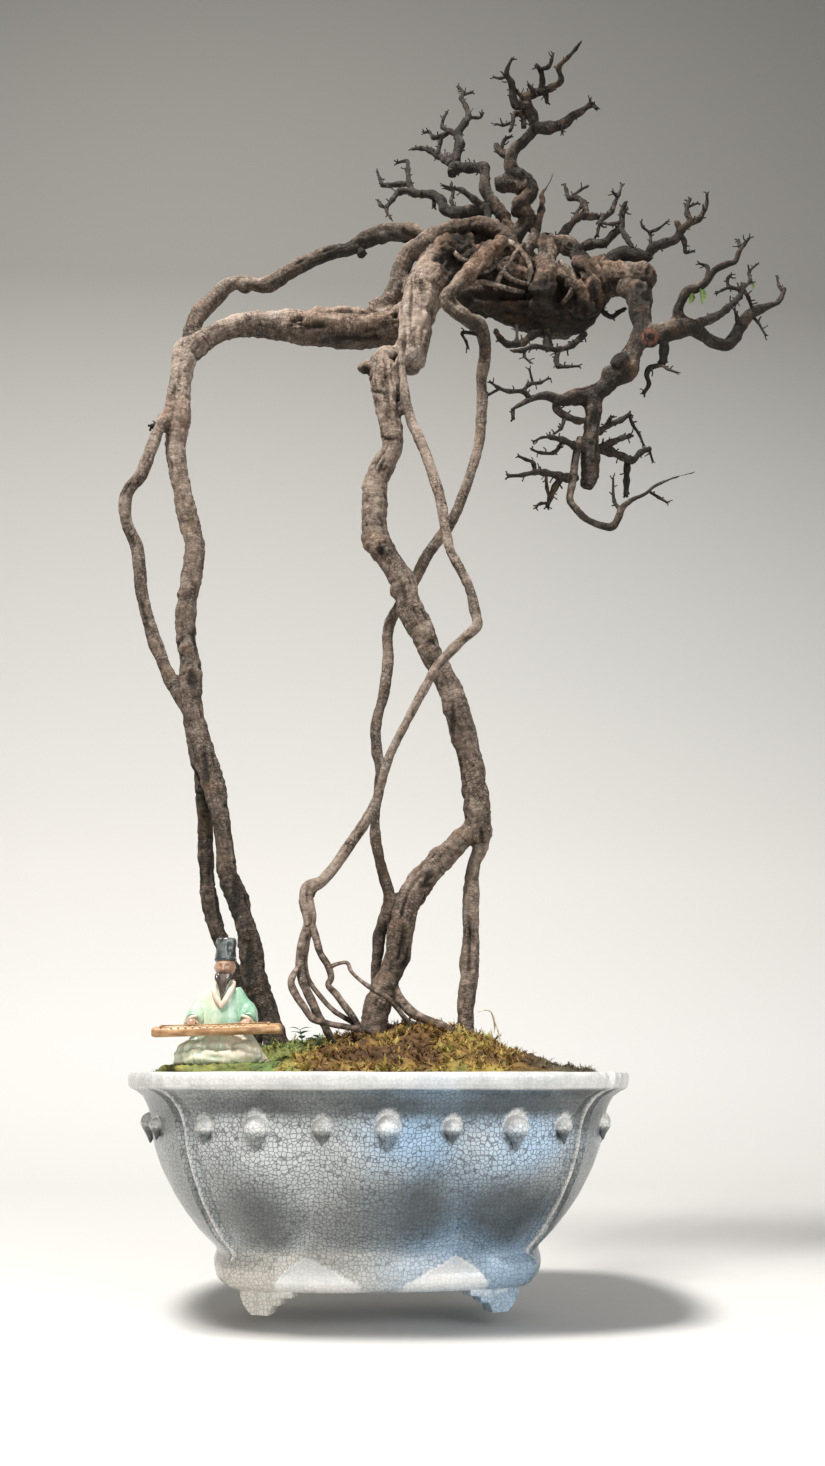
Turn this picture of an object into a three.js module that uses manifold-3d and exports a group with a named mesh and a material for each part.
// Sweet plum bonsai in the exposed-root style, in its glazed pot with soil, moss and a small figure.
// Millimetres, +Z up. The pot's long axis lies along X and its four feet stand on z = 0.
import * as THREE from "three";
import { mergeVertices } from "three/addons/utils/BufferGeometryUtils.js";
import Module from "manifold-3d";

// Driving dimensions
const rimLength = 360;
const depthCut = 90; // the pot is this much shallower, front to back, than it is long
const potHeight = 154.5;
const footHeight = 14;
const floorTop = 25;
const drainDiameter = 16;
const drainSpacing = 90;
const largeStud = 8;
const smallStud = 5.5;
const studLevel = 118;
const soilGap = 0.4;
const mossThickness = 9;
const groundLevel = 152; // moss at the pot's edge
const moundHeight = 37;
const figureHeight = 86;
const seatLevel = 158.4; // levelled moss under the figure
const touchGap = 0.3;

// The limbs are set out by sighting. A point is where it is seen in the photograph, in pixels of its
// 825 x 1466 frame, with the limb's thickness in those pixels and how far, in mm, it lies behind the
// pot's axis. The sight line from the eye gives its place in the round.
const frameCentre = [412.5, 733];
const focalPixels = 1200;
const eyeDistance = 921;
const eyeRight = 24.7;
const eyeHeight = 150.5;
const eyePitch = THREE.MathUtils.degToRad(16.04);
const potTurn = THREE.MathUtils.degToRad(4.4);

function sight(across, down, behind) {
  const right = (across - frameCentre[0]) / focalPixels;
  const up = (frameCentre[1] - down) / focalPixels;
  const forward = Math.cos(eyePitch) - up * Math.sin(eyePitch);
  const climb = Math.sin(eyePitch) + up * Math.cos(eyePitch);
  const reach = (eyeDistance + behind) / forward;
  const place = new THREE.Vector3(eyeRight + reach * right, behind, eyeHeight + reach * climb);
  place.applyAxisAngle(new THREE.Vector3(0, 0, 1), -potTurn);
  return { place, scale: reach / focalPixels };
}

// Joining and cutting
const wasm = await Module();
wasm.setup();

function solidOf(geometry) {
  const bare = geometry.clone();
  bare.deleteAttribute("normal");
  bare.deleteAttribute("uv");
  const merged = mergeVertices(bare, 1e-4);
  const vertProperties = new Float32Array(merged.attributes.position.array);
  const triVerts = new Uint32Array(merged.index.array);
  return new wasm.Manifold(new wasm.Mesh({ numProp: 3, vertProperties, triVerts }));
}

function joined(solids) {
  return solids.reduce((whole, piece) => whole.add(piece));
}

// The largest body of a solid: hollows that joining sealed are filled, and loose scraps dropped.
function wholeBody(solid) {
  return solid.decompose().reduce((best, body) => (body.volume() > best.volume() ? body : best));
}

const bonsai = new THREE.Group();

function addPiece(name, solid, color, roughness) {
  const body = wholeBody(solid).getMesh();
  const geometry = new THREE.BufferGeometry();
  geometry.setAttribute("position", new THREE.BufferAttribute(body.vertProperties, 3));
  geometry.setIndex(new THREE.BufferAttribute(body.triVerts, 1));
  geometry.computeVertexNormals();
  const material = new THREE.MeshStandardMaterial({ color, roughness, metalness: 0 });
  const mesh = new THREE.Mesh(geometry, material);
  mesh.name = name;
  bonsai.add(mesh);
}

// A seeded draw, the same on every run.
function drawsFrom(seed) {
  let state = seed;
  return () => {
    state = (state * 1664525 + 1013904223) % 4294967296;
    return state / 4294967296;
  };
}

// A closed solid through rings of points, all running counterclockwise seen from above.
function loft(rings) {
  const count = rings[0].length;
  const middle = (ring) =>
    ring.reduce((sum, p) => sum.add(p), new THREE.Vector3()).divideScalar(count);
  const points = [...rings.flat(), middle(rings[0]), middle(rings.at(-1))];
  const first = points.length - 2;
  const last = points.length - 1;
  const topRow = (rings.length - 1) * count;
  const faces = [];
  for (let i = 0; i < count; i++) {
    const next = (i + 1) % count;
    for (let row = 0; row < rings.length - 1; row++) {
      const a = row * count + i;
      const b = row * count + next;
      faces.push(a, b, b + count, a, b + count, a + count);
    }
    faces.push(first, next, i, last, topRow + i, topRow + next);
  }
  const geometry = new THREE.BufferGeometry().setFromPoints(points);
  geometry.setIndex(faces);
  return solidOf(geometry);
}

// Pot, fired in one piece. Its plan has three lobes on the long front and back panels, one broad lobe
// on each end, and a thin rib in the notch at each of the four corners.
const cornerDepth = 0.78; // the corner's share of the half depth
const lobePitch = 0.62; // one lobe's width as a share of the panel's half length
const ribHalf = 0.012;
const panelStations = [0, 0.17, 0.31, 0.45, 0.62, 0.79, 0.93];
const endStations = [0.75, 0.4];

// One quarter of the plan, from the front's middle round the corner towards the right end.
function quarterPlan(halfLength, halfDepth, cornerShare, scallop, notch) {
  const cornerX = halfLength * cornerShare;
  const cornerY = halfDepth * cornerDepth;
  const quarter = panelStations.map((f) => {
    const bow = 1 - (1 - cornerDepth) * Math.pow(f, 2.4);
    const valley = scallop * (1 - Math.abs(Math.cos((Math.PI * f) / lobePitch)));
    return [cornerX * f, halfDepth * bow - valley];
  });
  const inwards = notch * Math.SQRT1_2;
  if (notch) quarter.push([cornerX * (1 - ribHalf) - inwards, cornerY - inwards]);
  quarter.push([cornerX + inwards * 0.4, cornerY + inwards * 0.4]);
  if (notch) quarter.push([cornerX - inwards * 0.6, cornerY * (1 - 2 * ribHalf) - inwards]);
  for (const g of endStations) {
    quarter.push([cornerX + (halfLength - cornerX) * (1 - Math.pow(g, 2.2)), cornerY * g]);
  }
  return quarter;
}

function planRing(halfLength, halfDepth, cornerShare, scallop, notch, level) {
  const quarter = quarterPlan(halfLength, halfDepth, cornerShare, scallop, notch);
  const at = (x, y) => new THREE.Vector3(x, y, level);
  const back = [...quarter].reverse();
  return [
    ...quarter.map(([x, y]) => at(x, -y)),
    at(halfLength, 0),
    ...back.map(([x, y]) => at(x, y)),
    ...quarter.slice(1).map(([x, y]) => at(-x, y)),
    at(-halfLength, 0),
    ...back.slice(0, -1).map(([x, y]) => at(-x, -y)),
  ];
}

const halfRim = rimLength / 2;
// Bowl wall from the bottom up: level, half length, corner share, depth of the valleys, of the notch.
const bowlProfile = [
  [15, 107, 0.93, 12, 1],
  [36, 117, 0.88, 13, 3.5],
  [45, 122.5, 0.865, 12, 4],
  [72, 143.5, 0.825, 10, 4],
  [90, 153.5, 0.812, 8, 4],
  [120, 163, 0.8, 5.5, 4],
  [130, 164.5, 0.815, 3.5, 4],
  [138, 170, 0.83, 2, 4],
  [143, 178.5, 0.843, 1.5, 3],
  [152, halfRim, 0.845, 1.5, 2.5],
  [potHeight, halfRim - 2, 0.845, 1.5, 2.5],
];
const bowl = loft(
  bowlProfile.map(([level, half, corner, scallop, notch]) =>
    planRing(half, half - depthCut / 2, corner, scallop, notch, level),
  ),
);

// Inside face of the bowl: level and half length.
const innerProfile = [
  [floorTop, 80],
  [50, 106],
  [72, 124],
  [125, 153],
  [potHeight - 2.5, 166],
  [potHeight + 1, 168],
];
const innerCorner = 0.8;
const innerDepthCut = 2;
const insideRing = (level, half) =>
  planRing(half, half - depthCut / 2 - innerDepthCut, innerCorner, 0, 0, level);
const cavity = loft(innerProfile.map(([level, half]) => insideRing(level, half)));

// Foot ring: a plain oval band that the lobes run down onto.
const ringProfile = [
  [footHeight, 103, 58],
  [22, 113, 64],
  [30, 116, 66],
  [37, 104, 56],
];
const ringSides = 22;
const footRing = loft(
  ringProfile.map(([level, half, depth]) =>
    Array.from({ length: ringSides }, (_, i) => {
      const turn = (2 * Math.PI * i) / ringSides - Math.PI / 2;
      const [c, s] = [Math.cos(turn), Math.sin(turn)];
      const round = Math.pow(Math.abs(c) ** 3 + Math.abs(s) ** 3, -1 / 3);
      return new THREE.Vector3(half * c * round, depth * s * round, level);
    }),
  ),
);

// Cloud feet: a stepped outline on a thick slab that follows the ring. The steps face the middle.
const footPlace = [75, 44];
const footThickness = 12;
const footTurn = THREE.MathUtils.degToRad(22);
const footTop = footHeight + 5; // the slab goes on up into the bowl's floor
const footHalf = 19.5;
const footSteps = [
  [-19.5, 11], [-12, 10], [-11, 6.5], [-5, 5.5], [-3, 0], [9, 0],
];
const footCurl = [15, 4];
function cloudFoot(sideX, sideY) {
  const outline = new THREE.Shape();
  outline.moveTo(footHalf, footTop);
  outline.lineTo(-footHalf, footTop);
  footSteps.forEach(([x, z]) => outline.lineTo(x, z));
  outline.quadraticCurveTo(...footCurl, footHalf, footTop);
  const slab = new THREE.ExtrudeGeometry(outline, {
    depth: footThickness,
    bevelEnabled: false,
    curveSegments: 3,
  });
  slab.rotateX(Math.PI / 2);
  slab.translate(0, footThickness / 2, 0);
  slab.rotateZ(footTurn);
  slab.translate(footPlace[0], -footPlace[1], 0);
  slab.scale(sideX, -sideY, 1);
  if (sideX === sideY) slab.setIndex(facesTurned(slab.attributes.position.count));
  return solidOf(slab);
}
// A mirrored solid's faces point inwards until each is wound the other way.
function facesTurned(count) {
  return Array.from({ length: count }, (_, i) => i - (i % 3) + [0, 2, 1][i % 3]);
}
const feet = [-1, 1].flatMap((sideX) => [-1, 1].map((sideY) => cloudFoot(sideX, sideY)));

// Studs below the lip, each drawn out to a point below: large ones on the lobes, small in the valleys.
const studHalf = 163; // the bowl's half length at their level
const studCorner = studHalf * 0.8;
const studDepth = studHalf - depthCut / 2;
const studDrop = 1.45;
const studProud = 0.1; // its middle stands this share of its radius out of the wall
// Share of the panel's half length, radius, and how far the wall is set back there.
const panelStuds = [
  [0, largeStud, 0],
  [-0.62, largeStud, 0],
  [0.62, largeStud, 0],
  [-0.31, smallStud, 4.5],
  [0.31, smallStud, 4.5],
  [-0.9, smallStud, 3.5],
  [0.9, smallStud, 3.5],
];
const endStud = 0.6;
function stud(x, y, radius) {
  const ball = new THREE.SphereGeometry(radius, 6, 4);
  const out = new THREE.Vector3(x, y * 1.3, 0).normalize();
  const points = ball.attributes.position;
  for (let i = 0; i < points.count; i++) {
    if (points.getY(i) < 0) points.setY(i, points.getY(i) * studDrop);
  }
  ball.rotateX(Math.PI / 2);
  ball.translate(x + out.x * radius * studProud, y + out.y * radius * studProud, studLevel);
  return solidOf(ball);
}
const panelBow = (share) => 1 - (1 - cornerDepth) * Math.pow(Math.abs(share), 2.4);
const endBulge = (share) => 1 - Math.pow(Math.abs(share), 2.2);
const studs = [-1, 1].flatMap((side) => [
  ...panelStuds.map(([share, radius, setBack]) =>
    stud(studCorner * share, side * (studDepth * panelBow(share) - setBack), radius),
  ),
  stud(side * studHalf, 0, largeStud),
  ...[-endStud, endStud].map((share) => {
    const x = studCorner + (studHalf - studCorner) * endBulge(share);
    return stud(side * x, share * studDepth * cornerDepth, smallStud);
  }),
]);

const drains = [-1, 1].map((side) => {
  const bore = new THREE.CylinderGeometry(drainDiameter / 2, drainDiameter / 2, 2 * floorTop, 12);
  bore.rotateX(Math.PI / 2);
  bore.translate((side * drainSpacing) / 2, 0, footHeight);
  return solidOf(bore);
});
const pot = joined([bowl, footRing, ...feet, ...studs])
  .subtract(cavity)
  .subtract(joined(drains));
addPiece("pot", pot, 0xa9b4bd, 0.25);

// Plastic mesh squares that lie over the drain holes.
const screenSide = 26;
const screenThickness = 1;
const meshHole = 4.5;
const meshPitch = 6.5;
function block(x, y, z, width, depth, height) {
  const box = new THREE.BoxGeometry(width, depth, height);
  box.translate(x, y, z);
  return solidOf(box);
}
for (const side of [-1, 1]) {
  const middle = (side * drainSpacing) / 2;
  const level = floorTop + touchGap + screenThickness / 2;
  const sheet = block(middle, 0, level, screenSide, screenSide, screenThickness);
  const holes = [-0.5, 0.5].flatMap((i) =>
    [-0.5, 0.5].map((j) =>
      block(middle + i * meshPitch, j * meshPitch, level, meshHole, meshHole, 3 * screenThickness),
    ),
  );
  const name = side < 0 ? "drain_screen_left" : "drain_screen_right";
  addPiece(name, sheet.subtract(joined(holes)), 0x202020, 0.6);
}

// A limb: a round bar bent along its sighted route, thicker and thinner as it goes.
const spot = new THREE.Vector3();
function bar(places, radii, sides, step, grown) {
  const curve = new THREE.CatmullRomCurve3(places, false, "centripetal");
  const steps = Math.max(1, Math.round(curve.getLength() / step));
  const geometry = new THREE.CylinderGeometry(1, 1, 1, sides, steps);
  const frames = curve.computeFrenetFrames(steps);
  const position = geometry.attributes.position;
  for (let i = 0; i < position.count; i++) {
    const row = Math.round((position.getY(i) + 0.5) * steps);
    const along = curve.getUtoTmapping(row / steps) * (radii.length - 1);
    const before = Math.min(Math.floor(along), radii.length - 2);
    const radius = THREE.MathUtils.lerp(radii[before], radii[before + 1], along - before) + grown;
    const beyond = row === steps ? 2 * grown : 0;
    spot
      .copy(curve.getPointAt(row / steps))
      .addScaledVector(frames.tangents[row], beyond)
      .addScaledVector(frames.normals[row], position.getX(i) * radius)
      .addScaledVector(frames.binormals[row], -position.getZ(i) * radius);
    position.setXYZ(i, spot.x, spot.y, spot.z);
  }
  return solidOf(geometry);
}

// A limb's bends are about this far apart: a base and a share of its radius.
const stepBase = 20;
const stepShare = 1.8;

// A route of [across, down, thickness, behind]; buried is how far its foot goes on into the soil.
function limb(route, sides, buried = 0, grown = 0) {
  const sights = route.map(([across, down, , behind]) => sight(across, down, behind));
  const places = sights.map(({ place }) => place);
  const radii = sights.map(({ scale }, i) => (route[i][2] * scale) / 2);
  if (buried) {
    const foot = places.at(-1);
    places.push(new THREE.Vector3(foot.x, foot.y, foot.z - buried));
    radii.push(radii.at(-1) * 0.9);
  }
  const thickness = radii.reduce((sum, r) => sum + r, 0) / radii.length;
  return bar(places, radii, sides, stepBase + stepShare * thickness, grown);
}

// Roots that stand as legs. Each runs down to the moss and on into the soil.
const leftLeg = [
  [204, 341, 23, 0], [190, 347, 26, 0], [184, 363, 25, 0], [180, 384, 23, 0], [178, 410, 28, 0],
  [176, 430, 24, 0], [175, 449, 20, 0], [178, 469, 20, 0], [182, 489, 21, 0], [187, 513, 21, 0],
  [192, 532, 22, 0], [194, 554, 22, 0], [192, 576, 23, 0], [187, 600, 23, 2], [185, 619, 23, 3],
  [187, 643, 22, 4], [190, 667, 23, 5], [192, 706, 22, 5], [196, 728, 25, 5], [202, 752, 26, 4],
  [213, 782, 24, 2], [220, 813, 21, 0], [224, 843, 20, 0], [228, 874, 22, 0], [239, 905, 23, -2],
  [248, 935, 22, -4], [254, 973, 25, -6], [267, 1012, 24, -8], [277, 1050, 27, -10],
];
const leftStrand = [
  [198, 752, 16, 6], [202, 769, 18, 9], [203, 797, 17, 16], [205, 823, 16, 24], [206, 853, 18, 30],
  [207, 879, 17, 32], [210, 902, 19, 32], [216, 925, 18, 30], [222, 943, 16, 28], [232, 965, 15, 26],
  [240, 985, 15, 24], [249, 1010, 14, 22], [256, 1045, 14, 20],
];
const leftLoop = [
  [172, 408, 16, -2], [159, 430, 12, -12], [149, 455, 12, -15], [140, 477, 14, -15],
  [128, 491, 13, -12], [125, 509, 13, -10], [128, 526, 13, -8], [136, 544, 14, -5], [139, 564, 14, -3],
  [141, 588, 13, 0], [144, 605, 13, 2], [149, 623, 13, 5], [156, 645, 15, 6], [165, 667, 14, 6],
  [174, 687, 15, 6], [184, 704, 15, 6], [192, 718, 14, 6],
];
const middleRoot = [
  [412, 355, 18, -8], [398, 355, 20, -9], [387, 358, 24, -11], [382, 365, 27, -12], [384, 376, 28, -13],
  [386, 389, 27, -14], [388, 410, 27, -15], [391, 431, 24, -15], [391, 450, 22, -15],
  [382, 467, 26, -15], [375, 486, 26, -15], [374, 509, 27, -15], [375, 531, 27, -15],
  [381, 547, 27, -15], [394, 566, 26, -15], [405, 587, 25, -15], [411, 611, 27, -14],
  [423, 634, 27, -13], [433, 656, 25, -12], [444, 677, 26, -11], [453, 696, 27, -10],
  [462, 730, 27, -8], [470, 760, 27, -6], [475, 790, 28, -4], [477, 812, 29, -2], [478, 832, 28, 0],
];
const frontLeg = [
  [480, 828, 26, 0], [466, 835, 23, -1], [451, 850, 26, -2], [434, 868, 28, -3], [419, 884, 30, -4],
  [409, 900, 28, -5], [403, 918, 30, -6], [400, 937, 27, -7], [398, 955, 26, -8], [392, 971, 25, -9],
  [385, 987, 26, -10], [378, 1005, 27, -10], [374, 1023, 28, -10], [370, 1045, 32, -10],
];
const rightLeg = [
  [483, 836, 18, 2], [480, 850, 16, 4], [475, 862, 15, 6], [472, 880, 17, 8], [471, 900, 17, 9],
  [471, 921, 17, 10], [471, 943, 19, 10], [470, 961, 21, 10], [469, 979, 20, 10], [467, 996, 20, 10],
  [466, 1014, 19, 10], [466, 1040, 20, 10],
];
const sideRoot = [
  [391, 985, 14, -10], [398, 998, 11, -12], [405, 1006, 10, -14], [414, 1014, 10, -16],
  [428, 1020, 9, -18], [442, 1026, 9, -20], [452, 1034, 9, -22],
];
// The long thin root that hangs in front, and its five strands at the moss.
const thinRoot = [
  [414, 352, 12, -16], [404, 356, 11, -21], [400, 366, 11, -22], [402, 380, 11, -22],
  [405, 398, 11, -22], [411, 420, 11, -22], [419, 438, 12, -22], [427, 457, 11, -22],
  [433, 476, 12, -24], [439, 495, 12, -26], [443, 514, 11, -30], [446, 533, 11, -34],
  [451, 552, 11, -36], [460, 568, 11, -38], [469, 587, 11, -38], [474, 608, 12, -38],
  [477, 625, 12, -38], [465, 637, 11, -38], [451, 651, 11, -38], [437, 667, 11, -38],
  [427, 684, 10, -36], [418, 700, 10, -33], [405, 725, 10, -29], [390, 755, 10, -25],
  [382, 780, 11, -21], [376, 802, 12, -18], [366, 820, 12, -19], [357, 834, 12, -20],
  [346, 850, 12, -21], [335, 866, 12, -23], [321, 882, 13, -26], [308, 889, 16, -29],
  [306, 902, 17, -30], [309, 914, 15, -31], [310, 928, 12, -32],
];
const rootStrands = [
  [[308, 922, 8, -31], [303, 938, 8, -32], [300, 952, 8, -32], [300, 966, 9, -33],
    [303, 982, 9, -34], [311, 1000, 9, -36], [319, 1016, 8, -38], [326, 1029, 8, -39], [333, 1044, 7, -40]],
  [[302, 964, 6, -33], [295, 972, 6, -38], [291, 982, 7, -41], [296, 995, 7, -43],
    [304, 1007, 7, -45], [313, 1019, 7, -46], [330, 1024, 6, -47], [352, 1028, 6, -48],
    [372, 1033, 6, -48]],
  [[309, 930, 6, -31], [307, 945, 5, -29], [305, 962, 5, -28], [309, 980, 5, -28],
    [320, 996, 5, -28], [334, 1011, 5, -28], [350, 1021, 5, -28], [362, 1030, 5, -28]],
  [[311, 924, 8, -32], [316, 938, 7, -31], [320, 952, 7, -30], [328, 966, 7, -30],
    [331, 978, 6, -30], [328, 985, 6, -30], [336, 994, 7, -31], [344, 1005, 7, -32], [351, 1014, 7, -33],
    [358, 1026, 6, -34]],
  [[330, 967, 5, -30], [337, 964, 4, -30], [347, 963, 4, -31], [351, 971, 4, -33],
    [360, 980, 4, -34], [374, 990, 5, -34], [388, 998, 5, -33], [395, 1006, 5, -31], [402, 1015, 5, -30],
    [410, 1027, 5, -29]],
];
// The pale root that folds back at an elbow, passes behind and joins the front leg.
const paleRoot = [
  [503, 242, 12, -20], [494, 247, 15, -28], [485, 257, 15, -33], [470, 272, 15, -38],
  [457, 285, 15, -42], [448, 298, 15, -43], [454, 309, 15, -42], [467, 319, 15, -38],
  [480, 328, 15, -26], [485, 350, 13, -8], [482, 378, 12, 6], [482, 400, 12, 12], [481, 420, 12, 14],
  [480, 436, 11, 14], [476, 456, 11, 14], [470, 475, 11, 14], [463, 495, 11.5, 14],
  [456, 513, 12, 14], [446, 530, 12, 14], [434, 545, 12, 16], [425, 559, 13, 18], [415, 580, 13, 20],
  [402, 602, 13, 20], [391, 620, 12, 20], [387, 640, 12, 18], [388, 660, 12, 16], [386, 679, 12, 14],
  [383, 698, 12, 12], [377, 720, 12, 10], [376, 745, 12, 9], [380, 770, 12, 8], [378, 795, 11, 6],
  [375, 818, 10, 4], [375, 836, 12, 2], [379, 859, 12, 1], [385, 880, 13, 0], [389, 900, 13, -2],
  [385, 918, 12, 0], [380, 934, 12, 4], [378, 952, 12, 4], [376, 968, 10, 2], [376, 986, 9, -3],
];

// The two bars that carry the head, and the knotted head itself.
const lowerBar = [
  [188, 356, 22, 0], [204, 341, 23, 0], [215, 334, 21, 2], [233, 328, 24, 4], [246, 325, 27, 6],
  [267, 325, 29, 9], [294, 326, 34, 12], [319, 328, 40, 14], [342, 329, 40, 16], [370, 328, 40, 17],
  [395, 324, 38, 14], [414, 312, 30, 6],
];
const barStrand = [
  [372, 312, 22, 12], [388, 303, 22, 8], [396, 287, 21, 4], [401, 268, 20, 0], [410, 253, 19, -4],
  [425, 243, 19, -6], [442, 238, 18, -6],
];
const upperArch = [
  [190, 342, 20, 0], [193, 326, 18, 2], [200, 313, 18, 5], [215, 298, 17, 10], [231, 284, 15, 12],
  [246, 282, 12, 14], [259, 286, 14, 15], [270, 284, 17, 16], [286, 274, 15, 18], [305, 263, 15, 20],
  [328, 254, 15, 20], [351, 248, 15, 18], [366, 240, 20, 15], [386, 232, 20, 10], [407, 233, 20, 5],
  [424, 237, 14, 0], [436, 235, 13, -4], [450, 230, 12, -8],
];
const trunk = [
  [472, 258, 44, 2], [448, 262, 46, 1], [432, 275, 44, -2], [420, 292, 34, -6], [415, 308, 28, -9],
  [414, 328, 30, -10], [413, 348, 31, -11], [415, 364, 26, -12], [414, 374, 12, -12],
];
const headLimbs = [
  [[432, 240, 18, -6], [445, 232, 16, -10], [458, 227, 14, -12], [472, 225, 14, -12],
    [487, 225, 15, -12], [498, 231, 17, -12], [507, 242, 20, -10], [512, 258, 24, -8]],
  [[450, 248, 30, 10], [480, 250, 38, 8], [508, 258, 38, 4], [530, 272, 32, 0]],
  [[446, 290, 22, 0], [465, 298, 28, -2], [485, 300, 34, -2], [505, 304, 38, 0],
    [525, 308, 42, 0], [545, 314, 46, 0], [565, 318, 44, -2], [582, 314, 42, -6], [595, 298, 40, -10],
    [603, 284, 38, -14]],
  [[476, 262, 24, -14], [492, 270, 26, -17], [510, 277, 24, -17], [530, 284, 24, -13]],
  [[552, 282, 26, -6], [570, 286, 26, -8], [585, 286, 30, -8], [600, 281, 35, -14],
    [615, 279, 36, -24], [630, 278, 34, -34], [642, 277, 30, -42]],
  [[546, 238, 17, -8], [547, 255, 17, -14], [547, 275, 17, -18], [547, 292, 18, -18], [547, 304, 14, -12]],
  [[512, 266, 12, -14], [522, 254, 13, -14], [533, 240, 12, -12], [537, 225, 10, -10],
    [541, 211, 8, -9], [543, 201, 4, -9], [542, 194, 3.5, -9], [548, 185, 3, -9], [554, 172, 2, -10]],
  [[545, 254, 14, -4], [560, 243, 15, -8], [570, 245, 17, -11], [580, 257, 15, -12], [587, 270, 14, -13]],
  [[628, 284, 28, -34], [638, 294, 27, -40], [640, 312, 24, -41], [643, 328, 20, -41], [648, 337, 21, -42]],
];
const crownStem = [
  [500, 252, 24, -4], [512, 240, 18, -6], [520, 230, 15, -10], [527, 217, 16, -14],
  [518, 207, 13, -18], [524, 200, 13, -22], [531, 190, 14, -24], [524, 179, 16, -25],
  [513, 172, 16, -27], [510, 162, 14, -30], [514, 150, 13, -34], [524, 141, 12, -38],
  [533, 130, 12, -42], [537, 125, 9, -44],
];
const crownLimbs = [
  [[524, 184, 14, -25], [508, 182, 17, -22], [495, 184, 13, -19]],
  [[512, 238, 11, -8], [505, 220, 10, -10], [497, 208, 11, -12], [490, 199, 12, -14],
    [485, 188, 13, -16], [485, 177, 11, -16]],
  [[640, 330, 18, -42], [636, 344, 21, -42], [630, 358, 24, -40], [627, 370, 24, -38],
    [614, 378, 20, -34], [603, 388, 20, -30], [592, 397, 20, -27]],
  [[596, 392, 20, -28], [585, 396, 20, -27], [573, 397, 17, -30], [560, 400, 12, -34],
    [548, 396, 10, -38], [537, 397, 8, -42], [525, 402, 6, -46], [511, 410, 5, -50]],
  [[592, 397, 22, -27], [593, 415, 18, -24], [591, 430, 17, -20], [590, 445, 18, -18],
    [590, 460, 20, -16], [590, 475, 20, -14], [586, 488, 13, -14]],
  [[580, 438, 8, -20], [576, 455, 9, -26], [574, 470, 9, -30], [572, 485, 9, -33],
    [570, 500, 9, -36], [578, 511, 8, -38], [588, 520, 8, -40], [600, 525, 9, -42], [612, 527, 9, -44],
    [618, 519, 8, -46], [622, 508, 7, -48], [632, 500, 6, -50], [645, 494, 5, -53], [655, 486, 4, -56],
    [668, 480, 3.5, -60], [680, 476, 3, -64], [696, 472, 2.5, -68]],
  [[650, 337, 20, -42], [665, 332, 21, -44], [680, 326, 24, -46], [692, 328, 18, -46],
    [706, 337, 13, -42], [716, 343, 12, -36], [727, 345, 13, -30], [735, 337, 13, -24], [741, 325, 13, -18],
    [749, 315, 12, -12], [756, 311, 12, -8], [768, 306, 7, -2], [778, 302, 6, 4], [783, 294, 6, 8],
    [785, 288, 5, 10]],
  [[680, 322, 16, -47], [678, 311, 12, -52], [682, 300, 11, -58], [688, 291, 11, -63],
    [700, 287, 9, -68], [708, 279, 9, -73], [715, 270, 8, -77], [727, 264, 8, -82], [735, 262, 6, -85],
    [739, 252, 6, -88], [744, 245, 4, -90]],
];

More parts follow.
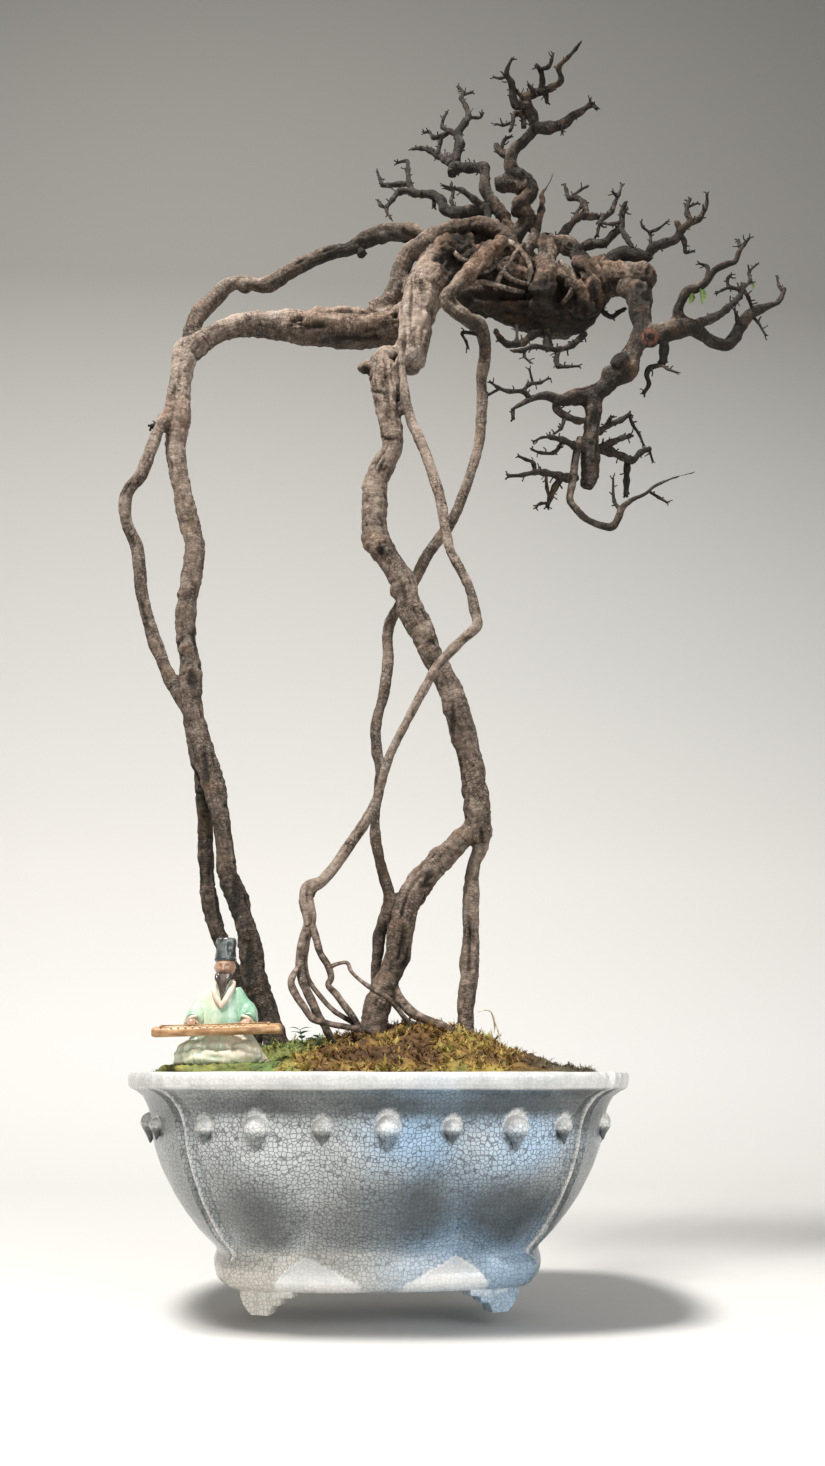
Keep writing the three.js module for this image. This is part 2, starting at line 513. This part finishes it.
// Twigs, finer than the limbs: [thickness at the start, at the tip, behind at the start, at the tip,
// route of across and down].
const twigs = [
  [10, 2.5, -44, -64, [[534, 128], [550, 127], [565, 124], [573, 117], [580, 112], [592, 105], [597, 109]]],
  [3, 1.8, -60, -66, [[590, 107], [590, 98]]],
  [3, 1.8, -55, -50, [[563, 124], [562, 134]]],
  [9, 6, -42, -60, [[535, 128], [532, 116], [527, 106], [525, 99], [533, 94], [543, 91]]],
  [6, 2, -60, -100, [[541, 92], [552, 86], [561, 80], [559, 67], [567, 58], [575, 50], [580, 43]]],
  [5, 3, -60, -74, [[543, 91], [543, 80], [540, 70], [536, 65]]],
  [4, 1.8, -72, -80, [[541, 69], [549, 67], [552, 60], [553, 53]]],
  [5, 3, -60, -52, [[543, 91], [546, 96], [547, 103]]],
  [4, 2, -58, -66, [[536, 93], [530, 88], [528, 84]]],
  [7, 2.5, -56, -84, [[527, 105], [515, 105], [512, 95], [511, 83], [507, 75], [508, 67], [512, 58]]],
  [3, 1.8, -72, -66, [[507, 76], [500, 77], [493, 77]]],
  [4, 2, -58, -70, [[523, 98], [517, 92], [513, 84]]],
  [5, 3, -40, -52, [[524, 128], [522, 116], [515, 114], [513, 122], [510, 131]]],
  [3, 1.8, -46, -40, [[513, 122], [503, 125], [496, 124]]],
  [6, 4, -32, -30, [[510, 158], [504, 154], [498, 150], [496, 145]]],
  [4, 2, -31, -38, [[501, 151], [505, 140], [512, 136]]],
  [9, 7, -16, 4, [[485, 180], [484, 168], [470, 168], [458, 167], [452, 172]]],
  [9, 2, 2, 40, [[452, 174], [455, 160], [459, 145], [458, 133], [465, 122], [468, 116], [465, 107],
    [462, 98], [463, 93], [458, 86]]],
  [3, 1.8, 26, 20, [[467, 117], [480, 117], [483, 112]]],
  [2.5, 1.8, 36, 44, [[463, 95], [473, 92]]],
  [5, 2, 16, 34, [[458, 136], [450, 131], [443, 127], [443, 118], [447, 112]]],
  [5, 1.8, 22, 30, [[450, 131], [440, 136], [433, 138], [429, 132], [423, 133]]],
  [8, 2, 4, 30, [[452, 164], [445, 160], [438, 155], [430, 150], [420, 149], [411, 149]]],
  [4, 2, 12, 6, [[438, 154], [440, 143], [442, 137]]],
  [10, 6, -12, 18, [[499, 207], [485, 208], [470, 211], [455, 212], [445, 209], [440, 200], [432, 194],
    [420, 194]]],
  [7, 2, 16, 30, [[422, 194], [413, 193], [409, 183], [408, 170], [407, 161], [396, 163]]],
  [5, 2, 22, 34, [[410, 184], [400, 184], [390, 186], [382, 185], [379, 178], [377, 171]]],
  [6, 1.8, 18, 10, [[414, 192], [400, 192], [392, 200], [387, 210], [391, 219]]],
  [3, 1.8, 12, 16, [[388, 208], [380, 206], [378, 200]]],
  [4, 2, 2, 20, [[456, 211], [452, 200], [453, 192], [445, 188]]],
  [6, 1.8, -10, -24, [[484, 206], [473, 199], [462, 191], [450, 187], [442, 185]]],
  [5, 3, 14, 16, [[434, 196], [434, 207]]],
  [7, 6, -10, -12, [[488, 224], [488, 204]]],
  [7, 5, -5, 16, [[553, 243], [567, 229], [578, 218], [586, 214]]],
  [6, 2, 14, 30, [[586, 216], [583, 205], [578, 198], [570, 198], [567, 190], [564, 184]]],
  [3, 1.8, 22, 34, [[571, 197], [580, 190], [588, 186]]],
  [3, 1.8, 12, 8, [[582, 206], [576, 214], [574, 220]]],
  [6, 2, 14, 36, [[583, 217], [592, 217], [603, 216], [611, 211], [615, 202], [619, 194], [622, 184]]],
  [3, 1.8, 30, 24, [[617, 197], [612, 191]]],
  [4, 2.5, 18, -6, [[603, 216], [600, 224], [597, 236]]],
  [8, 4, -12, -40, [[574, 252], [590, 245], [603, 243], [613, 234], [620, 227], [622, 213], [625, 203]]],
  [5, 3, -32, -36, [[620, 226], [626, 236], [629, 243], [633, 248]]],
  [3, 1.8, -36, -44, [[623, 214], [628, 208]]],
  [3, 2, -34, -30, [[620, 222], [611, 224], [602, 223]]],
  [12, 8, -28, -34, [[602, 270], [612, 259], [624, 254], [638, 256], [650, 257]]],
  [8, 5, -34, -58, [[648, 257], [654, 249], [664, 244], [676, 239], [682, 229], [690, 223]]],
  [5, 2, -56, -66, [[688, 225], [700, 219], [704, 210], [707, 202], [707, 193]]],
  [5, 3, -58, -52, [[692, 223], [688, 214], [687, 205], [690, 199]]],
  [3, 2, -54, -50, [[688, 207], [698, 203]]],
  [3, 1.8, -34, -40, [[652, 253], [650, 242], [650, 232], [643, 227], [641, 222]]],
  [3, 1.8, -38, -48, [[650, 232], [659, 228], [668, 221]]],
  [6, 4, -52, -54, [[681, 233], [677, 222]]],
  [5, 2, -50, -44, [[680, 234], [684, 243], [685, 251], [694, 251]]],
  [4, 2, -52, -50, [[707, 276], [708, 267], [698, 263]]],
  [4, 2.5, -86, -82, [[740, 247], [738, 240]]],
  [4, 2, -88, -92, [[743, 246], [750, 237]]],
  [8, 5, -46, -38, [[686, 326], [700, 323], [711, 320], [716, 315], [726, 309], [735, 302]]],
  [5, 4, -38, -30, [[733, 303], [740, 297], [742, 290], [743, 286]]],
  [4, 1.8, -30, -24, [[742, 288], [750, 281], [750, 272], [757, 264]]],
  [4, 1.8, -32, -40, [[742, 291], [730, 288], [722, 290], [716, 294]]],
  [3, 1.8, -36, -42, [[728, 288], [727, 279], [732, 274]]],
  [4, 2.5, -30, -10, [[744, 291], [748, 298], [752, 308]]],
  [4, 2, -20, -34, [[738, 330], [737, 318], [734, 308]]],
  [3, 1.8, -8, -20, [[752, 316], [758, 324], [766, 336]]],
  [3, 1.8, 8, 14, [[783, 292], [779, 285], [777, 276]]],
  [4, 3, -12, -18, [[600, 306], [605, 313], [612, 317], [619, 313], [625, 309]]],
  [7, 4, -2, -30, [[542, 331], [532, 335], [524, 342], [517, 344], [507, 345], [500, 338], [495, 330]]],
  [3, 2, -18, -18, [[517, 344], [517, 326]]],
  [4, 2, -24, -30, [[486, 333], [476, 333], [463, 333], [466, 341], [468, 348]]],
  [7, 5, -4, -10, [[546, 330], [547, 342], [549, 350]]],
  [6, 3, -4, -36, [[585, 334], [572, 345], [558, 349], [545, 348], [532, 347], [522, 350], [513, 351]]],
  [3, 1.8, -26, -34, [[526, 349], [524, 356], [531, 363]]],
  [5, 2, -14, -26, [[558, 349], [556, 360], [558, 366], [568, 367], [580, 366]]],
  [16, 12, -40, -48, [[624, 366], [618, 357]]],
  [4, 3, -48, -50, [[513, 409], [513, 419]]],
  [5, 2, -44, -56, [[531, 400], [524, 392], [508, 391], [497, 388], [489, 381]]],
  [3, 2, -52, -48, [[499, 389], [488, 395]]],
  [4, 1.8, -47, -38, [[523, 392], [530, 384], [540, 382], [549, 378]]],
  [2.5, 1.8, -42, -48, [[533, 384], [529, 368]]],
  [6, 5, -34, -24, [[556, 400], [558, 408], [566, 416], [578, 420], [590, 420]]],
  [4, 2, -28, -40, [[565, 417], [560, 428], [554, 434]]],
  [8, 4, -16, 20, [[594, 448], [610, 452], [622, 457], [632, 460], [640, 452], [650, 449]]],
  [3, 1.8, 20, 26, [[649, 449], [653, 462]]],
  [6, 4, 8, 20, [[628, 459], [627, 470], [626, 482], [626, 496]]],
  [7, 4, -18, 14, [[592, 450], [610, 444], [622, 438], [630, 436]]],
  [7, 3.5, -20, 10, [[594, 432], [600, 430], [608, 425], [620, 420], [630, 414]]],
  [3, 1.8, 8, 18, [[629, 414], [633, 424], [639, 434], [644, 446]]],
  [4, 3, -8, -14, [[606, 426], [611, 417]]],
  [7, 4, -20, -44, [[584, 450], [575, 446], [562, 440], [550, 437]]],
  [3, 1.8, -42, -52, [[551, 437], [542, 438], [533, 442]]],
  [4, 2, -32, -46, [[563, 441], [553, 453], [540, 452], [531, 449]]],
  [8, 3, -28, -62, [[576, 478], [568, 477], [558, 475], [545, 473], [535, 472], [522, 475], [508, 476]]],
  [4, 2, -50, -56, [[535, 472], [533, 463], [525, 460], [518, 456]]],
  [7, 3, -38, -30, [[562, 477], [554, 488], [550, 498], [547, 508]]],
  [3, 2.5, -44, -32, [[546, 474], [547, 488], [550, 500]]],
  [3, 2, -31, -40, [[549, 503], [540, 503], [536, 508]]],
  [3, 1.8, -50, -56, [[650, 492], [660, 498], [668, 503]]],
  [4, 1.8, -46, -38, [[620, 510], [614, 502], [613, 478]]],
  [9, 6, -43, -36, [[664, 338], [664, 352], [662, 364]]],
  [5, 3, -36, -28, [[664, 364], [650, 368], [646, 374], [648, 385], [643, 394]]],
  [3, 1.8, -36, -44, [[662, 365], [668, 370], [678, 373]]],
  [7, 4, -2, -10, [[173, 412], [164, 422], [151, 427]]],
  [16, 8, -13, -15, [[374, 369], [363, 366], [357, 371]]],
  [9, 6, 18, 16, [[357, 246], [363, 255]]],
];

function twigRoute([start, tip, near, far, route]) {
  const last = route.length - 1;
  return route.map(([across, down], i) => [
    across,
    down,
    THREE.MathUtils.lerp(start, tip, i / last),
    THREE.MathUtils.lerp(near, far, i / last),
  ]);
}

// Thorny spurs: short pointed shoots on every twig, one on alternate sides and two at each tip.
const spurSpacing = 62;
const spurLength = 5.5;
const drawSpur = drawsFrom(943);
function spursOn(twig) {
  const route = twigRoute(twig);
  if (route[0][2] > 9.5 || route.length < 3) return [];
  const sights = route.map(([across, down, , behind]) => sight(across, down, behind));
  const curve = new THREE.CatmullRomCurve3(sights.map(({ place }) => place), false, "centripetal");
  const count = Math.max(1, Math.round(curve.getLength() / spurSpacing));
  return Array.from({ length: count }, (_, i) => {
    const share = (i + 0.4 + 0.5 * drawSpur()) / count;
    const root = curve.getPointAt(share);
    const along = curve.getTangentAt(share);
    const side = new THREE.Vector3(drawSpur() - 0.5, drawSpur() - 0.5, drawSpur() - 0.3);
    side.addScaledVector(along, -side.dot(along)).normalize();
    side.addScaledVector(along, 0.5).normalize();
    const tip = root.clone().addScaledVector(side, spurLength * (0.7 + 0.6 * drawSpur()));
    return bar([root, tip], [1.1, 0.55], 3, spurLength * 2, 0);
  });
}

// The tree, grown as one piece.
const legs = [leftLeg, leftStrand, frontLeg, rightLeg];
const legDepth = 42;
const strandDepth = 16;
const thickSides = 6;
const thinSides = 5;
const strandSides = 4;
const tree = joined([
  ...legs.map((route) => limb(route, thickSides, legDepth)),
  limb(sideRoot, thinSides, strandDepth),
  ...rootStrands.map((route) => limb(route, strandSides, strandDepth)),
  limb(leftLoop, thinSides),
  limb(middleRoot, thickSides),
  limb(thinRoot, thinSides),
  limb(paleRoot, thinSides),
  limb(lowerBar, thickSides),
  limb(barStrand, thickSides),
  limb(upperArch, thickSides),
  limb(trunk, thickSides),
  ...headLimbs.map((route) => limb(route, thickSides)),
  limb(crownStem, thickSides),
  ...crownLimbs.map((route) => limb(route, thinSides)),
  ...twigs.map((twig) => limb(twigRoute(twig), twig[0] > 6 ? strandSides : 3)),
  ...twigs.flatMap((twig) => spursOn(twig)),
]);
addPiece("tree", tree, 0x8a7a6c, 0.85);

// Plain holes that the roots stand in.
const holeGap = 0.5;
const rootHoles = joined([
  ...legs.map((route) => limb(route, thickSides, legDepth, holeGap)),
  limb(sideRoot, thinSides, strandDepth, holeGap),
  ...rootStrands.map((route) => limb(route, strandSides, strandDepth, holeGap)),
]);

// Ground: the moss surface, a mound round the roots that falls away to the rim.
const moundLine = [
  [-170, 0.05], [-140, 0.16], [-115, 0.32], [-90, 0.51], [-45, 0.65], [0, 0.89], [24, 1], [60, 0.89],
  [100, 0.7], [122, 0.49], [145, 0.22], [170, 0.08],
];
const ridgeY = 8;
const ridgeReach = 118;
const seatPressed = 3; // how deep the figure is pressed into the moss
const figurePlace = sight(221, 1067, -70).place;
const figurePatch = [42, 27];
const seatSize = [36.5, 23];
const figureTurn = THREE.MathUtils.degToRad(4);
const fromFigure = (x, y) =>
  Math.hypot((x - figurePlace.x) / figurePatch[0], (y - figurePlace.y) / figurePatch[1]);
function groundAt(x, y) {
  const right = moundLine.findIndex(([at]) => at >= x);
  const [x0, h0] = moundLine[Math.max(right - 1, 0)];
  const [x1, h1] = moundLine[Math.max(right, 0)];
  const ridge = x1 > x0 ? THREE.MathUtils.mapLinear(x, x0, x1, h0, h1) : h0;
  const fall = Math.max(0, 1 - Math.pow(Math.abs(y - ridgeY) / ridgeReach, 1.8));
  const mound = groundLevel + ridge * moundHeight * fall;
  const patch = THREE.MathUtils.clamp(2 - 1.6 * fromFigure(x, y) ** 2, 0, 1);
  return THREE.MathUtils.lerp(mound, seatLevel + seatPressed, patch);
}

const groundRings = [0.2, 0.44, 0.69, 0.91];
const fillHalf = 165.5;
const shrunk = (ring, share, height) =>
  ring.map((p) => new THREE.Vector3(p.x * share, p.y * share, height(p.x * share, p.y * share)));

const soilEdge = groundLevel - mossThickness - touchGap;
const soilEdgeHalf = 161;
const soilWalls = innerProfile
  .filter(([level]) => level < soilEdge)
  .map(([level, half]) => insideRing(level, half - soilGap));
soilWalls[0].forEach((p) => (p.z += touchGap));
const soilTop = insideRing(soilEdge, soilEdgeHalf - soilGap);
const soilHeight = (x, y) => groundAt(x, y) - mossThickness - touchGap;
const soilBody = loft([
  ...soilWalls,
  soilTop,
  ...[...groundRings].reverse().map((share) => shrunk(soilTop, share, soilHeight)),
]);
const screenRoom = joined(
  [-1, 1].map((side) => {
    const width = screenSide + 2 * touchGap;
    const height = 2 * (screenThickness + 3 * touchGap);
    return block((side * drainSpacing) / 2, 0, floorTop, width, width, height);
  }),
);
addPiece("soil", soilBody.subtract(screenRoom).subtract(rootHoles), 0x3b2d22, 0.95);
const overSoil = soilBody.translate([0, 0, touchGap]);

// Moss: a cushion of clumps over the soil.
const clumpHeight = 3.2;
const drawClump = drawsFrom(59);
const mossEdge = insideRing(groundLevel, fillHalf - 2 * soilGap);
const mossBottom = groundRings.map((share) =>
  shrunk(mossEdge, share, (x, y) => soilHeight(x, y) - mossThickness / 2),
);
const mossRim = insideRing(soilEdge + touchGap, soilEdgeHalf - soilGap);
const clumped = (x, y) =>
  groundAt(x, y) + (fromFigure(x, y) > 1.15 ? clumpHeight * (drawClump() - 0.45) : 0);
const mossTop = [...groundRings].reverse().map((share) => shrunk(mossEdge, share, clumped));
const mossBody = loft([...mossBottom, mossRim, mossEdge, ...mossTop]).subtract(overSoil);

// Two small leafy sprigs and a dry wisp of grass stand in the moss.
const sprigStems = [
  [[300, 1030, 2.4, -46], [302, 1040, 2.6, -46], [304, 1052, 2.8, -46]],
  [[318, 1038, 2.4, -54], [316, 1046, 2.6, -54], [314, 1056, 2.8, -54]],
];
const wispRoute = [
  [478, 1012, 1.6, -22], [486, 1010, 1.8, -22], [491, 1012, 2, -22], [494, 1020, 2, -22],
  [498, 1031, 2.2, -22], [500, 1042, 2.2, -22],
];
const sprigDepth = 5;
const stemHoles = joined([
  ...sprigStems.map((route) => limb(route, 4, sprigDepth, holeGap)),
  limb(wispRoute, 4, sprigDepth, holeGap),
]);

// The green moss at the left end meets the golden moss along a slanting line.
const mossSplit = -48;
const splitTurn = THREE.MathUtils.degToRad(-14);
const splitWidth = 600;
function leftOf(offset) {
  const slab = new THREE.BoxGeometry(splitWidth, splitWidth, splitWidth);
  slab.translate(offset - splitWidth / 2, 0, groundLevel);
  slab.rotateZ(splitTurn);
  slab.translate(mossSplit, 0, 0);
  return solidOf(slab);
}
// A level seat is pressed into the moss for the figure.
const seatHeight = 60;
const seatRoom = new THREE.CylinderGeometry(1, 1, seatHeight, 20);
seatRoom.rotateX(Math.PI / 2);
seatRoom.scale(...seatSize, 1);
seatRoom.rotateZ(-figureTurn);
seatRoom.translate(figurePlace.x, figurePlace.y, seatLevel + seatHeight / 2);
const mossCut = mossBody.subtract(rootHoles).subtract(stemHoles).subtract(solidOf(seatRoom));
addPiece("moss_green", mossCut.intersect(leftOf(-touchGap / 2)), 0x6d7a2f, 0.95);
addPiece("moss_golden", mossCut.subtract(leftOf(touchGap / 2)), 0x9a6d32, 0.95);

// Leaflets of a sprig: small pointed blades in pairs up the stem.
const leafletLength = 5;
const leafletWidth = 2.4;
const leafletThickness = 0.7;
function blade(length, width, thickness) {
  const outline = new THREE.Shape();
  outline.moveTo(0, 0);
  outline.quadraticCurveTo(length * 0.45, width * 0.75, length, 0);
  outline.quadraticCurveTo(length * 0.45, -width * 0.75, 0, 0);
  const flat = new THREE.ExtrudeGeometry(outline, {
    depth: thickness,
    bevelEnabled: false,
    curveSegments: 2,
  });
  flat.translate(-length * 0.12, 0, -thickness / 2);
  return flat;
}
const sprigPairs = 3;
const leafletRise = 0.5;
const pairTurn = 2.4;
sprigStems.forEach((route, index) => {
  const sights = route.map(([across, down, , behind]) => sight(across, down, behind));
  const stem = new THREE.CatmullRomCurve3(sights.map(({ place }) => place));
  const leaflets = Array.from({ length: sprigPairs * 2 }, (_, i) => {
    const at = stem.getPointAt((Math.floor(i / 2) / sprigPairs) * 0.55);
    const flat = blade(leafletLength, leafletWidth, leafletThickness);
    flat.rotateY(-leafletRise);
    flat.rotateZ(Math.floor(i / 2) * pairTurn + (i % 2) * Math.PI + index);
    flat.translate(at.x, at.y, at.z);
    return solidOf(flat);
  });
  const sprig = joined([limb(route, 4, sprigDepth), ...leaflets]);
  addPiece(index ? "sprig_right" : "sprig_left", sprig, 0x4f7d3a, 0.7);
});
addPiece("dry_wisp", limb(wispRoute, 4, sprigDepth), 0xc9b88f, 0.8);

// Young leaves that hang from the right-hand twigs, each with its base against the bark. Each row has
// where it is sighted, how far behind, its length, its width, and its turn below the level, in radians.
const youngLeaves = [
  [701, 287.4, -68.8, 14, 6, 1.5],
  [693, 293.3, -65, 11, 5, 1.9],
  [750.3, 279.8, -26.6, 9, 4, 1.3],
];
const leafRoll = 0.9;
youngLeaves.forEach(([across, down, behind, length, width, turn], index) => {
  const flat = blade(length, width, leafletThickness);
  flat.rotateX(leafRoll);
  flat.rotateY(turn);
  const { place } = sight(across, down, behind);
  flat.translate(place.x, place.y, place.z);
  const leaf = solidOf(flat).subtract(tree).subtract(tree.translate([0, 0, -touchGap]));
  addPiece("young_leaf_" + (index + 1), leaf, 0x5f7f3a, 0.6);
});

// Seated figure with a zither across the knees, glazed and fired in one piece. It faces the front.
// Rows of its round forms give level, half width, half depth and how far back the middle is.
const skirtRows = [[0, 34, 20], [4, 33.5, 21], [10, 30, 20], [15, 28, 18], [20, 24.5, 14.5]];
const torsoRows = [[10, 18, 13], [26, 17, 12], [40, 16, 11], [49, 14, 9.5], [54, 9, 7], [58, 4.5, 4.5]];
const hatRows = [
  [70, 7.2, 7.8], [73, 7.4, 8], [78, 6.4, 7], [figureHeight - 1, 6.8, 6.6], [figureHeight, 5.5, 5.4],
];
const beardRows = [[46, 1.2, 1.2, -9.5], [52, 3.6, 2.2, -9], [59, 5, 3, -6.5], [62, 4, 2, -5.5]];
const headSize = [6.8, 7.4, 9.4];
const headPlace = [0, -1, 66];
const noseSize = [1.2, 1.8, 2.4];
const nosePlace = [0, -8.4, 66.5];
const handSize = [3, 4, 2.6];
const handPlace = [18.5, -20, 28.5];
const sleevePlaces = [[11, 0, 50], [19.5, -3, 36], [17, -16, 29]];
const sleeveRadii = [5, 6.2, 5];
const zitherLength = 86;
const zitherWidth = 15;
const zitherThickness = 7;
const zitherTilt = 0.03;
const zitherPlace = [-0.5, -21, 19];

function ball(size, centre, around, rings) {
  const sphere = new THREE.SphereGeometry(1, around, rings);
  sphere.rotateX(Math.PI / 2);
  sphere.scale(...size);
  sphere.translate(...centre);
  return solidOf(sphere);
}
function oval(rows, around) {
  return loft(
    rows.map(([z, rx, ry, y = 0]) =>
      Array.from({ length: around }, (_, i) => {
        const turn = (2 * Math.PI * i) / around;
        return new THREE.Vector3(rx * Math.cos(turn), ry * Math.sin(turn) + y, z);
      }),
    ),
  );
}
const arms = [-1, 1].flatMap((side) => {
  const places = sleevePlaces.map(([x, y, z]) => new THREE.Vector3(side * x, y, z));
  const hand = ball(handSize, [side * handPlace[0], handPlace[1], handPlace[2]], 8, 5);
  return [bar(places, sleeveRadii, 8, 9, 0), hand];
});
const zitherBoard = new THREE.Shape();
const narrowHalf = zitherWidth * 0.42;
const waist = zitherLength * 0.3;
zitherBoard.moveTo(-zitherLength / 2, -narrowHalf);
zitherBoard.lineTo(waist, -zitherWidth / 2);
zitherBoard.lineTo(zitherLength / 2, -narrowHalf);
zitherBoard.lineTo(zitherLength / 2, narrowHalf);
zitherBoard.lineTo(waist, zitherWidth / 2);
zitherBoard.lineTo(-zitherLength / 2, narrowHalf);
const zither = new THREE.ExtrudeGeometry(zitherBoard, { depth: zitherThickness, bevelEnabled: false });
zither.rotateY(-zitherTilt);
zither.translate(...zitherPlace);
const figure = joined([
  oval(skirtRows, 12),
  oval(torsoRows, 12),
  oval(hatRows, 12),
  oval(beardRows, 8),
  ball(headSize, headPlace, 10, 6),
  ball(noseSize, nosePlace, 6, 4),
  ...arms,
  solidOf(zither),
]);
const seated = new THREE.Matrix4()
  .makeTranslation(figurePlace.x, figurePlace.y, seatLevel + touchGap)
  .multiply(new THREE.Matrix4().makeRotationZ(-figureTurn));
addPiece("figure", figure.transform(seated.elements), 0x9fb69a, 0.4);

// The origin is the middle of the whole object's box, on the ground.
const reach = new THREE.Box3().setFromObject(bonsai);
const centre = reach.getCenter(new THREE.Vector3());
bonsai.position.set(-centre.x, -centre.y, -reach.min.z);

export default bonsai;
